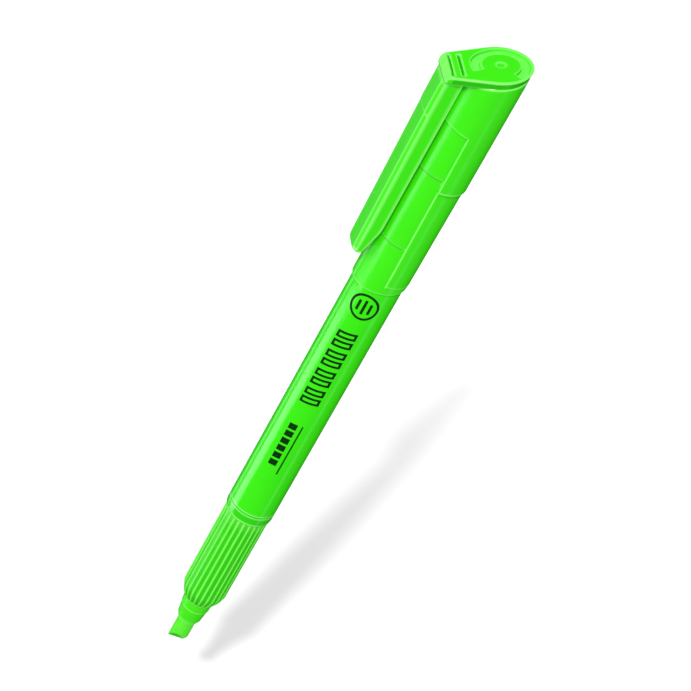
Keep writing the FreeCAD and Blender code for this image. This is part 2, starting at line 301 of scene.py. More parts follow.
def soften(outline, steps=4):
    """Round the corners of a closed outline. A corner is its coordinates and then its cut-back length."""
    out = []
    for i, corner in enumerate(outline):
        here = Vector(corner[:-1])
        before = Vector(outline[i - 1][:-1])
        after = Vector(outline[(i + 1) % len(outline)][:-1])
        cut = corner[-1]
        if cut == 0:
            out.append(tuple(here))
            continue
        start = here + (before - here).normalized() * min(cut, (before - here).length * 0.45)
        end = here + (after - here).normalized() * min(cut, (after - here).length * 0.45)
        for k in range(steps + 1):
            t = k / steps
            out.append(tuple(start * (1 - t) ** 2 + here * 2 * t * (1 - t) + end * t ** 2))
    return out


def circle_angles(count):
    return [2 * math.pi * i / count for i in range(count)]


def lathe(name, outline, material, count=160, tone=None):
    """Turn a closed (radius, z) outline about Z."""
    rings = []
    for radius, z in outline:
        rings.append([(radius * math.cos(a), radius * math.sin(a), z) for a in circle_angles(count)])
    return rings_to_mesh(name, rings, material, closed=True, reach=0.20, tone=tone)


def ramp(value, start, end):
    """0 before start, 1 after end and a smooth rise between them."""
    t = min(max((value - start) / (end - start), 0.0), 1.0)
    return t * t * (3 - 2 * t)


def mix(a, b, t):
    return a + (b - a) * t


def spread(start, end, step):
    """Values from start towards end in nearly equal steps, without end."""
    count = max(1, round(abs(end - start) / step))
    return [start + (end - start) * i / count for i in range(count)]


# ---------------------------------------------------------------- materials

CREVICE_REACH = 0.35         # crevices this near to another surface, in millimetres, get painted shade
SHADE = (0.012, 0.42, 0.000) # colour of the painted shade in crevices and dark bands
SCATTER = (0.3, 1.0, 0.2)    # green light goes furthest under the surface


def node_material(name):
    material = bpy.data.materials.new(name)
    material.use_nodes = True
    nodes = material.node_tree.nodes
    return material, nodes, material.node_tree.links, nodes["Principled BSDF"]


def noise(nodes, links, scale, detail=3.0, stretch=(1, 1, 1)):
    """Noise in object space; scale is per metre."""
    coords = nodes.new("ShaderNodeTexCoord")
    mapping = nodes.new("ShaderNodeMapping")
    mapping.inputs["Scale"].default_value = stretch
    texture = nodes.new("ShaderNodeTexNoise")
    texture.inputs["Scale"].default_value = scale
    texture.inputs["Detail"].default_value = detail
    links.new(coords.outputs["Object"], mapping.inputs["Vector"])
    links.new(mapping.outputs["Vector"], texture.inputs["Vector"])
    return texture.outputs["Fac"]


def scaled(nodes, links, value, low, high):
    """Map a 0..1 value to low..high."""
    node = nodes.new("ShaderNodeMapRange")
    node.inputs["To Min"].default_value = low
    node.inputs["To Max"].default_value = high
    links.new(value, node.inputs["Value"])
    return node.outputs["Result"]


def blend_colour(nodes, links, factor, a, b):
    node = nodes.new("ShaderNodeMix")
    node.data_type = "RGBA"
    for socket, value in (("A_Color", a), ("B_Color", b)):
        target = next(s for s in node.inputs if s.identifier == socket)
        if isinstance(value, tuple):
            target.default_value = (*value, 1.0)
        else:
            links.new(value, target)
    links.new(factor, node.inputs["Factor"])
    return next(s for s in node.outputs if s.identifier == "Result_Color")


def multiply(nodes, links, value, factor):
    node = nodes.new("ShaderNodeMath")
    node.operation = "MULTIPLY"
    node.inputs[1].default_value = factor
    links.new(value, node.inputs[0])
    return node.outputs[0]


def add_bump(nodes, links, shader, height, distance, strength=1.0):
    bump = nodes.new("ShaderNodeBump")
    bump.inputs["Distance"].default_value = distance
    bump.inputs["Strength"].default_value = strength
    links.new(height, bump.inputs["Height"])
    links.new(bump.outputs["Normal"], shader.inputs["Normal"])


def attribute(nodes, name):
    node = nodes.new("ShaderNodeAttribute")
    node.attribute_name = name
    return node.outputs["Fac"]


def limited(nodes, links, value, start, end):
    """Map start..end to 0..1, held at both ends."""
    node = nodes.new("ShaderNodeMapRange")
    node.inputs["From Min"].default_value = start
    node.inputs["From Max"].default_value = end
    links.new(value, node.inputs["Value"])
    return node.outputs["Result"]


def neon_plastic(name, base, deep, pale, rough, highlight_strength, specular=0.5):
    """Moulded fluorescent plastic: cloudy pigment, mould texture, painted highlights on the edges and pale
    areas, and painted shade in crevices and dark bands.
    """
    material, nodes, links, shader = node_material(name)
    pigment = blend_colour(nodes, links, noise(nodes, links, 140, 4.0), deep, base)
    # pale painted light where the tone is above 0
    painted_light_share = limited(nodes, links, attribute(nodes, "tone"), 0.0, 1.0)
    pigment = blend_colour(nodes, links, painted_light_share, pigment, pale)
    # painted highlight along the edges
    edge = multiply(nodes, links, attribute(nodes, "painted_edge_highlight"), highlight_strength)
    lit = blend_colour(nodes, links, edge, pigment, pale)
    # painted shade where the tone is below 0
    painted_shade_share = limited(nodes, links, attribute(nodes, "tone"), 0.0, -1.0)
    banded = blend_colour(nodes, links, painted_shade_share, lit, SHADE)
    # painted shade in crevices, from ambient occlusion
    crevice = nodes.new("ShaderNodeAmbientOcclusion")
    crevice.samples = 8
    crevice.inputs["Distance"].default_value = CREVICE_REACH * MM
    hidden = limited(nodes, links, crevice.outputs["AO"], 0.85, 0.25)
    links.new(blend_colour(nodes, links, hidden, banded, SHADE), shader.inputs["Base Color"])
    links.new(scaled(nodes, links, noise(nodes, links, 900), rough - 0.05, rough + 0.06),
              shader.inputs["Roughness"])
    shader.inputs["Specular IOR Level"].default_value = specular
    shader.inputs["Subsurface Weight"].default_value = 0.15
    shader.inputs["Subsurface Radius"].default_value = SCATTER
    shader.inputs["Subsurface Scale"].default_value = 0.0006
    add_bump(nodes, links, shader, noise(nodes, links, 2600, 2.0), 0.000004)
    return material


def felt_material(name, base, deep, pale):
    """Porous felt: fibres along the nib, soaked unevenly with ink."""
    material, nodes, links, shader = node_material(name)
    fibres = noise(nodes, links, 5200, 6.0, (1, 1, 0.12))
    cloud = noise(nodes, links, 420, 3.0)
    soaked = blend_colour(nodes, links, cloud, deep, base)
    fibrous = blend_colour(nodes, links, multiply(nodes, links, fibres, 0.45), soaked, pale)
    # painted shade on the nib's chisel facets
    facet_shade_share = limited(nodes, links, attribute(nodes, "tone"), 0.0, -1.0)
    links.new(blend_colour(nodes, links, facet_shade_share, fibrous, SHADE), shader.inputs["Base Color"])
    shader.inputs["Roughness"].default_value = 0.75
    shader.inputs["Specular IOR Level"].default_value = 0.15
    shader.inputs["Subsurface Weight"].default_value = 0.1
    shader.inputs["Subsurface Radius"].default_value = SCATTER
    shader.inputs["Subsurface Scale"].default_value = 0.0005
    add_bump(nodes, links, shader, fibres, 0.00003)
    return material


def film_material():
    material, nodes, links, shader = node_material("clear_wrap")
    crinkle = noise(nodes, links, 700, 5.0, (1, 1, 0.3))
    links.new(blend_colour(nodes, links, crinkle, (0.55, 0.86, 0.52), (0.80, 0.96, 0.78)),
              shader.inputs["Base Color"])
    links.new(scaled(nodes, links, crinkle, 0.10, 0.26), shader.inputs["Roughness"])
    shader.inputs["Transmission Weight"].default_value = 0.6
    add_bump(nodes, links, shader, crinkle, 0.00002)
    return material


def liner_material():
    material, nodes, links, shader = node_material("natural_liner")
    cloud = noise(nodes, links, 260, 4.0)
    links.new(blend_colour(nodes, links, cloud, (0.70, 0.80, 0.68), (0.86, 0.92, 0.84)),
              shader.inputs["Base Color"])
    links.new(scaled(nodes, links, noise(nodes, links, 1500), 0.38, 0.55), shader.inputs["Roughness"])
    shader.inputs["Subsurface Weight"].default_value = 0.3
    shader.inputs["Subsurface Scale"].default_value = 0.001
    add_bump(nodes, links, shader, noise(nodes, links, 3000), 0.000006)
    return material


def ink_print_material():
    material, nodes, links, shader = node_material("printed_ink")
    mottle = noise(nodes, links, 2400, 4.0)
    links.new(blend_colour(nodes, links, mottle, (0.000, 0.020, 0.001), (0.002, 0.045, 0.003)),
              shader.inputs["Base Color"])
    links.new(scaled(nodes, links, mottle, 0.35, 0.55), shader.inputs["Roughness"])
    shader.inputs["Specular IOR Level"].default_value = 0.12
    add_bump(nodes, links, shader, mottle, 0.000004)
    return material


def floor_material():
    material, nodes, links, shader = node_material("pale_floor")
    cloud = noise(nodes, links, 12, 2.0)
    links.new(blend_colour(nodes, links, cloud, (0.93, 0.93, 0.93), (0.95, 0.95, 0.95)),
              shader.inputs["Base Color"])
    shader.inputs["Roughness"].default_value = 0.9
    shader.inputs["Specular IOR Level"].default_value = 0.1
    return material


# The third colour of each plastic is its painted light: pale areas and edge highlights.
BARREL_PLASTIC = neon_plastic("barrel_plastic", (0.042, 0.80, 0.003), (0.034, 0.75, 0.002),
                              (0.24, 0.98, 0.17), rough=0.21, highlight_strength=0.9)
GRIP_PLASTIC = neon_plastic("grip_plastic", (0.060, 0.79, 0.005), (0.048, 0.74, 0.004),
                            (0.24, 0.98, 0.12), rough=0.34, highlight_strength=0.65, specular=0.25)
CAP_PLASTIC = neon_plastic("cap_plastic", (0.050, 0.81, 0.004), (0.040, 0.76, 0.003),
                           (0.24, 0.98, 0.15), rough=0.24, highlight_strength=0.85, specular=0.4)
FELT = felt_material("soaked_felt", (0.085, 0.80, 0.012), (0.045, 0.66, 0.005), (0.20, 0.95, 0.10))
WICK = felt_material("bonded_wick", (0.300, 0.90, 0.100), (0.200, 0.80, 0.060), (0.60, 1.0, 0.35))
PRINT_INK = ink_print_material()


# ---------------------------------------------------------------- pen

def collar_painted_light(x, y, z):
    """Painted shade in the groove and a darker band on the collar between the barrel's face and its groove,
    with a painted highlight on the face's rim.
    """
    groove = 1 - ramp(abs(z - GROOVE_Z), 0.10, 0.22)
    collar = ramp(z, BARREL_LOW.z + 0.70, BARREL_LOW.z + 0.90) * (1 - ramp(z, GROOVE_Z - 0.5, GROOVE_Z))
    face = 1 - ramp(z, BARREL_LOW.z + 0.45, BARREL_LOW.z + 0.70)
    return 0.9 * face - max(0.9 * groove, 0.4 * collar)


def make_barrel():
    """The barrel. Points without a cut-back beside an edge keep its painted edge highlight from spreading.
    """
    outline = soften([
        (BARREL_BORE, BARREL_LOW.z, 0.0),
        (BARREL_FACE_R, BARREL_LOW.z, 0.18),
        (BARREL_R - BARREL_BEVEL_SWELL[0], BARREL_LOW.z + 0.35, 0.15),
        (BARREL_R - BARREL_BEVEL_SWELL[1], BARREL_LOW.z + 0.62, 0.0),
        (BARREL_R, BARREL_LOW.z + BARREL_BEVEL, 0.35),
        (BARREL_R, BARREL_LOW.z + 1.3, 0.0),
        (BARREL_R, BARREL_LOW.z + 1.6, 0.0),
        (BARREL_R, GROOVE_Z - GROOVE_HALF - 0.5, 0.0),
        (BARREL_R, GROOVE_Z - GROOVE_HALF, 0.06),
        (BARREL_R - GROOVE_DEPTH, GROOVE_Z, 0.08),
        (BARREL_R, GROOVE_Z + GROOVE_HALF, 0.06),
        (BARREL_R, GROOVE_Z + GROOVE_HALF + 0.5, 0.0),
        (BARREL_R, GROOVE_Z + 20, 0.0),
        (BARREL_R, GROOVE_Z + 40, 0.0),
        (BARREL_R, TAPER_Z[0], 0.4),
        (TAIL_R, TAPER_Z[1], 0.4),
        (TAIL_R, BARREL_HIGH.z - 0.9, 0.0),
        (TAIL_R, BARREL_HIGH.z - 0.6, 0.0),
        (TAIL_R, BARREL_HIGH.z, 0.25),
        (BARREL_BORE, BARREL_HIGH.z, 0.0),
    ])
    return lathe("barrel_tube", outline, BARREL_PLASTIC, tone=collar_painted_light)


def rib_height(share):
    """Height of the grip's surface over its core at a share of the rib pitch from a rib's centre."""
    return 1.0 - ramp(abs(share), RIB_TOP, RIB_FOOT)


def grip_painted_light(x, y, z):
    """Painted shade between the ribs, and a painted highlight line at the nose's lip, its ring and the
    ribs' start.
    """
    for line in (NOSE_Z, NOSE_RING_Z, SHOULDER_Z[0]):
        if abs(z - line) < 0.11 and math.hypot(x, y) > NOSE_BORE + 0.1:
            return 0.8
    if not SHOULDER_Z[0] < z < GRIP_END_Z:
        return 0.0
    share = (math.atan2(y, x) / (2 * math.pi) * RIBS + 0.5) % 1.0 - 0.5
    return -RIB_SHADE * (1 - rib_height(share))


def make_grip():
    """The grip. Each outline point is its radius, z, how much rib stands on it and its cut-back."""
    core = []
    shoulder = 12
    for i in range(shoulder + 1):
        rise = 1 - (1 - i / shoulder) ** SHOULDER_CURVE
        radius = NOSE_R + (GRIP_R - RIB_HEIGHT - NOSE_R) * rise
        z = mix(SHOULDER_Z[0], SHOULDER_Z[1], i / shoulder)
        core.append((radius, z, RIB_HEIGHT, 0.0))
    straight = spread(SHOULDER_Z[1] + 0.5, GRIP_END_Z - 0.3, 2.5)
    outline = soften([
        (NOSE_BORE, NOSE_Z, 0.0, 0.0),
        (NOSE_R - 1.00, NOSE_Z, 0.0, 0.12),
        (NOSE_R - 1.00, NOSE_STEP_Z, 0.0, 0.10),
        (NOSE_R - 0.64, NOSE_STEP_Z + 0.2, 0.0, 0.12),
        (NOSE_R - 0.62, NOSE_STEP_Z + 0.5, 0.0, 0.0),
        (NOSE_R - 0.30, NOSE_RING_Z - 0.45, 0.0, 0.0),
        (NOSE_R - 0.27, NOSE_RING_Z - 0.10, 0.0, 0.08),
        (NOSE_R - 0.17, NOSE_RING_Z, 0.0, 0.08),
        (NOSE_R - 0.16, NOSE_RING_Z + 0.3, 0.0, 0.0),
        (NOSE_R - 0.03, SHOULDER_Z[0] - 0.45, 0.0, 0.0),
        (NOSE_R - 0.02, SHOULDER_Z[0] - 0.2, 0.0, 0.0),
        (NOSE_R - 0.01, SHOULDER_Z[0] - 0.1, 0.0, 0.0),
    ] + core + [(GRIP_R - RIB_HEIGHT, z, RIB_HEIGHT, 0.0) for z in straight] + [
        (GRIP_R - RIB_HEIGHT, GRIP_END_Z, RIB_HEIGHT, 0.12),
        (SPIGOT_R, GRIP_END_Z, 0.0, 0.0),
        (SPIGOT_R, GRIP_HIGH.z, 0.0, 0.2),
        (CHAMBER_R, GRIP_HIGH.z, 0.0, 0.0),
        (CHAMBER_R, CHAMBER_Z, 0.0, 0.0),
        (NOSE_BORE, CHAMBER_Z, 0.0, 0.0),
    ])
    columns = RIBS * RIB_COLUMNS
    shares = [((i / RIB_COLUMNS) + 0.5) % 1.0 - 0.5 for i in range(columns)]
    rings = []
    for radius, z, rib in outline:
        ring = []
        for angle, share in zip(circle_angles(columns), shares):
            r = radius + rib * rib_height(share)
            ring.append((r * math.cos(angle), r * math.sin(angle), z))
        rings.append(ring)
    return rings_to_mesh("ribbed_grip", rings, GRIP_PLASTIC, closed=True, reach=0.07, tone=grip_painted_light)


def nib_ring(share, inset, drop):
    """A section of the nib: a circle pinched between two facets, on a slanted end."""
    ring = []
    radius = NIB_R - inset
    for angle in circle_angles(NIB_SIDES):
        x = radius * math.cos(angle)
        y = radius * math.sin(angle)
        low = NIB_RISE * (x + NIB_R) / (2 * NIB_R)
        z = mix(low, NIB_ROUND_Z, share) + drop
        half = NIB_EDGE_HALF + NIB_FACET * max(z, 0.0) - inset
        y = math.copysign(min(abs(y), max(half, 0.05)), y)
        ring.append((x * math.cos(NIB_TURN) - y * math.sin(NIB_TURN),
                     x * math.sin(NIB_TURN) + y * math.cos(NIB_TURN), z))
    return ring


def facet_painted_shade(x, y, z):
    """Painted shade makes the two chisel facets darker than the round side."""
    if math.hypot(x, y) >= NIB_R - 0.02:
        return 0.0
    across = abs(y * math.cos(NIB_TURN) - x * math.sin(NIB_TURN))
    return -0.6 * ramp(across + 0.05, NIB_EDGE_HALF, NIB_EDGE_HALF + 0.1)


def make_nib():
    rings = []
    for k in range(5):
        a = math.pi / 2 * k / 5
        rings.append(nib_ring(0.0, NIB_EDGE_ROUND * (1 - math.sin(a)), NIB_EDGE_ROUND * (1 - math.cos(a))))
    first = 0.018            # just above the rounded edge
    for k in range(60):
        rings.append(nib_ring(mix(first, 1.0, (k / 59) ** 2), 0.0, 0.0))
    for z, radius in ((NIB_HIGH.z - NIB_POINT_LEN, NIB_R), (NIB_HIGH.z, NIB_POINT_R)):
        rings.append([(radius * math.cos(a + NIB_TURN), radius * math.sin(a + NIB_TURN), z)
                      for a in circle_angles(NIB_SIDES)])
    return rings_to_mesh("felt_nib", rings, FELT, smooth_angle=28.0, tone=facet_painted_shade)


# ---------------------------------------------------------------- print

def wrapped(along, across, lift):
    """A point printed on the barrel: along is z, across runs round the barrel."""
    radius = BARREL_R + lift
    angle = PRINT_ANGLE + across / BARREL_R
    return (radius * math.cos(angle), radius * math.sin(angle), along)


def resampled(corners, step=0.25):
    """The closed outline with points no further apart than step, so that it wraps smoothly."""
    points = []
    for i, corner in enumerate(corners):
        a = Vector(corner)
        b = Vector(corners[(i + 1) % len(corners)])
        count = max(1, math.ceil((b - a).length / step))
        points += [a.lerp(b, k / count) for k in range(count)]
    return points


def stroke_faces(corners, width, points, faces):
    """Add a printed outline to points and faces: a thin raised band just inside the corners."""
    loop = resampled(corners)
    count = len(loop)
    centre = sum(loop, Vector((0, 0))) / count
    inner = []
    for i, point in enumerate(loop):
        tangent = (loop[(i + 1) % count] - loop[i - 1]).normalized()
        normal = Vector((-tangent.y, tangent.x))
        if normal.dot(centre - point) < 0:
            normal.negate()
        inner.append(point + normal * width)
    base = len(points)
    section = ((loop, -PRINT_SINK), (loop, PRINT_LIFT), (inner, PRINT_LIFT), (inner, -PRINT_SINK))
    for ring, lift in section:
        points += [wrapped(p.x, p.y, lift) for p in ring]
    for r in range(4):
        a = base + r * count
        b = base + (r + 1) % 4 * count
        faces += [(a + i, a + (i + 1) % count, b + (i + 1) % count, b + i) for i in range(count)]


def slanted_bar(along, length, across0, across1, slant):
    return [(along, across0), (along + length, across0),
            (along + length + slant, across1), (along + slant, across1)]


def make_print():
    """Generic marks in the places of the printed ones: dashes, slanted bars and a ring with three bars."""
    points, faces = [], []
    for k in range(DASHES):
        stroke_faces(slanted_bar(DASH_Z + DASH_PITCH * k, *DASH), DASH_FILL, points, faces)
    stroke_faces(slanted_bar(UNDERLINE_Z, *UNDERLINE), UNDERLINE_FILL, points, faces)
    for k in range(BAR_PAIRS):
        along = BAR_Z + BAR_PITCH * k
        stroke_faces(slanted_bar(along, *BAR), PRINT_LINE, points, faces)
        stroke_faces(slanted_bar(along + BAR_GAP, *BAR), PRINT_LINE, points, faces)
    circle = []
    for a in circle_angles(60):
        circle.append((RING_Z + RING_R * math.cos(a), RING_ACROSS + RING_R * math.sin(a)))
    stroke_faces(circle, PRINT_LINE, points, faces)
    for offset, half in RING_BARS:
        low = RING_ACROSS + offset - RING_BAR_HALF
        bar = slanted_bar(RING_Z - half, 2 * half, low, low + 2 * RING_BAR_HALF, 0.0)
        stroke_faces(bar, RING_BAR_FILL, points, faces)
    return mesh_object("barrel_marks", points, faces, PRINT_INK)


# ---------------------------------------------------------------- cap

LIP_COLUMNS = 148            # degrees from +X where the columns get closer for the lip
SKIN_COLUMNS = (94.2, 100.4) # and where the skin's edge runs


def cap_columns():
    """Angles round the cap, closer together at the lip and at each feature's edge."""
    angles = set(round(a, 3) for a in spread(-LIP_COLUMNS, LIP_COLUMNS, 2.0))
    angles |= set(round(a, 3) for a in spread(LIP_COLUMNS, 360 - LIP_COLUMNS, 0.55))
    for side in (-1, 1):
        angles |= set(round(side * a, 3) for a in spread(*SKIN_COLUMNS, 0.4))
    for mark in CRESCENT_ENDS:
        for offset in (0.0, 0.25, 0.55, 0.9, 1.5):
            angles.add(round(mark + offset, 3))
            angles.add(round(mark - offset, 3))
    turned = sorted(set(round((a + 180) % 360 - 180, 3) for a in angles))
    kept = [turned[0]]
    for a in turned[1:]:
        if a - kept[-1] > 0.12:
            kept.append(a)
    return [math.radians(a) for a in kept]


def side_radius(angle, z):
    """Radius of the cap's side: the stepped window panel, the skin over its back, and the crown."""
    x = PANEL_R[2] * math.cos(angle)
    panel = PANEL_R[0]
    panel += (PANEL_R[1] - PANEL_R[0]) * ramp(z, PANEL_STEPS[0] - 0.08, PANEL_STEPS[0] + 0.08)
    panel += (PANEL_R[2] - PANEL_R[1]) * ramp(z, PANEL_STEPS[1] - 0.08, PANEL_STEPS[1] + 0.08)
    skin = mix(SKIN_R[0], SKIN_R[1], min(max((z - SKIN_Z) / (SKIN_STEP_Z[0] - SKIN_Z), 0), 1))
    skin = mix(skin, CROWN_R, ramp(z, *SKIN_STEP_Z))
    edge = mix(*SKIN_X, (z - SKIN_Z) / (CROWN_Z - SKIN_Z))
    beyond = ramp(x, edge - 0.07, edge + 0.07) * ramp(z, SKIN_Z - 0.08, SKIN_Z + 0.08)
    outside = mix(panel, skin, beyond)
    crown = ramp(z - CROWN_SLOPE * x, CROWN_Z - 0.09, CROWN_Z + 0.09)
    return mix(outside, CROWN_R, crown)


def around(mark, reach=0.09):
    """Stations that resolve a small step and the painted edge highlight beside it."""
    return [mark - 0.35, mark - 0.18, mark - reach, mark - reach / 2, mark,
            mark + reach / 2, mark + reach, mark + 0.18, mark + 0.35]


def side_stations():
    """(height at the axis, slope) of each ring up the cap's side."""
    rows = [(MOUTH_Z + 0.22, MOUTH_SLOPE), (MOUTH_Z + 0.45, MOUTH_SLOPE)]
    rows.append((MOUTH_Z + 0.85, MOUTH_SLOPE * 0.6))
    flat = around(SKIN_Z) + spread(SKIN_Z + 0.8, PANEL_STEPS[0] - 0.6, 1.2) + around(PANEL_STEPS[0])
    flat += spread(PANEL_STEPS[0] + 1, SKIN_STEP_Z[0] - 0.6, 1.2)
    flat += [mix(SKIN_STEP_Z[0] - 0.2, SKIN_STEP_Z[1] + 0.2, k / 10) for k in range(11)]
    flat += around(PANEL_STEPS[1])
    rows += [(z, 0.0) for z in flat]
    for z in spread(LEAN_Z + 0.7, CROWN_Z - 0.6, 1.1):
        rows.append((z, CROWN_SLOPE * (z - LEAN_Z) / (CROWN_Z - LEAN_Z)))
    rows += [(z, CROWN_SLOPE) for z in around(CROWN_Z)]
    top = TOP_Z - PLATE - 0.8
    for k in range(1, 9):
        t = k / 9
        rows.append((mix(CROWN_Z + 0.35, top, t), mix(CROWN_SLOPE, TOP_SLOPE, t)))
    return rows


def outline_reach(angle, inset):
    """Distance from the disc's centre to the teardrop outline, drawn in by inset."""
    centre = Vector((DISC_X, 0.0))
    ray = Vector((math.cos(angle), math.sin(angle)))
    radius = CROWN_R - inset
    half = LIP_HALF - inset * 0.5
    corner = math.atan2(half, LIP_X + inset)
    touch = corner - math.acos(radius / math.hypot(half, LIP_X + inset))
    b = centre.dot(ray)
    circle = -b + math.sqrt(b * b - centre.length_squared + radius * radius)
    hit = centre + ray * circle
    if abs(math.atan2(hit.y, hit.x)) <= touch:
        return circle
    flank_normal = Vector((math.cos(touch), math.copysign(math.sin(touch), ray.y)))
    flank = (radius - flank_normal.dot(centre)) / flank_normal.dot(ray)
    lip = (LIP_X + inset - centre.x) / ray.x if ray.x < -0.2 else 99.0
    soft = LIP_SOFT
    gap = max(soft - abs(flank - lip), 0.0) / soft
    return min(flank, lip) - gap * gap * soft / 4


def top_height(x, y, depth=0.0):
    return TOP_Z + TOP_SLOPE * x - depth


def crescent_depth(angle, radius):
    degrees = math.degrees(angle)
    degrees = degrees + 360 if degrees < -90 else degrees
    inside = ramp(radius, DISC_R - CRESCENT_SOFT, DISC_R + CRESCENT_SOFT)
    outside = 1 - ramp(radius, CRESCENT_R - CRESCENT_SOFT, CRESCENT_R + CRESCENT_SOFT)
    start = ramp(degrees, CRESCENT_ENDS[0] - CRESCENT_END_SOFT, CRESCENT_ENDS[0] + CRESCENT_END_SOFT)
    end = 1 - ramp(degrees, CRESCENT_ENDS[1] - CRESCENT_END_SOFT, CRESCENT_ENDS[1] + CRESCENT_END_SOFT)
    return CRESCENT_DEPTH * inside * outside * start * end


def thumb_depth(x, y):
    depth = 0.0
    for groove in THUMB_X:
        across = 1 - ramp(abs(x - groove), THUMB_HALF_WIDTH - 0.12, THUMB_HALF_WIDTH + 0.06)
        depth += across * (1 - ramp(abs(y), THUMB_HALF_LEN - 0.1, THUMB_HALF_LEN + 0.15))
    return THUMB_DEPTH * depth


def top_ring(columns, reach_at):
    """A ring on the plate's slanted top, with its recesses."""
    ring = []
    for angle in columns:
        reach = reach_at(angle)
        x = DISC_X + reach * math.cos(angle)
        y = reach * math.sin(angle)
        depth = crescent_depth(angle, reach) + thumb_depth(x, y)
        depth += DIMPLE_DEPTH * (1 - ramp(reach, *DIMPLE_R))
        ring.append((x, y, top_height(x, y, depth)))
    return ring


def lip_share(angle):
    """0 along the plate's rim, 1 at the lip over the clip."""
    return ramp(-math.cos(angle), 0.90, 0.965)


def plate_ring(columns, inset, depth, lip_inset=None, lip_depth=None):
    """A ring on the plate's side; at the lip the clip's outer face flows up into a larger rounding."""
    ring = []
    rim = (inset, depth)
    at_lip = (inset if lip_inset is None else lip_inset, depth if lip_depth is None else lip_depth)
    for angle in columns:
        share = lip_share(angle)
        inset = mix(rim[0], at_lip[0], share)
        depth = mix(rim[1], at_lip[1], share)
        reach = outline_reach(angle, inset)
        x = DISC_X + reach * math.cos(angle)
        y = reach * math.sin(angle)
        ring.append((x, y, top_height(x, y, depth)))
    return ring


def side_ring(columns, z_axis, slope, radius_at):
    """A leaning ring: the radius depends on z and z on the radius, so both are refined together."""
    ring = []
    for angle in columns:
        radius = radius_at(angle, z_axis)
        for _ in range(3):
            z = z_axis + slope * radius * math.cos(angle)
            radius = radius_at(angle, z)
        ring.append((radius * math.cos(angle), radius * math.sin(angle), z))
    return ring


def plate_edge(angle):
    """Where the plate's rounded rim ends and its flat top starts."""
    return outline_reach(angle, mix(RIM_ROUND, LIP_ROUND, lip_share(angle)))


def cap_painted_light(x, y, z):
    """Painted light on the crescent floor, painted shade in the grooves, on the plate's side and a little
    at the lip, and painted shadow lines where the window panel steps.
    """
    below = top_height(x, y) - z
    if below < 0.5 and thumb_depth(x, y) > 0.2:
        return -0.9
    out = math.hypot(x - DISC_X, y)
    if below < 0.9 and out < CRESCENT_R:
        return 0.6 * ramp(below, 0.35, 0.65)
    if below < 1.2 and out < CRESCENT_R - 0.3:
        return 0.0
    step = min(abs(z - mark) for mark in PANEL_STEPS)
    if x < SKIN_X[1] - 0.2 and step < 0.25:
        return -0.6 * (1 - ramp(step, 0.10, 0.25))
    if x < LIP_X + LIP_ROUND + 0.2 and below < LIP_ROUND + 0.2:
        return -0.1
    return -0.75 * ramp(below, RIM_ROUND, RIM_ROUND + 0.2) * (1 - ramp(below, PLATE - 0.1, PLATE + 0.05))


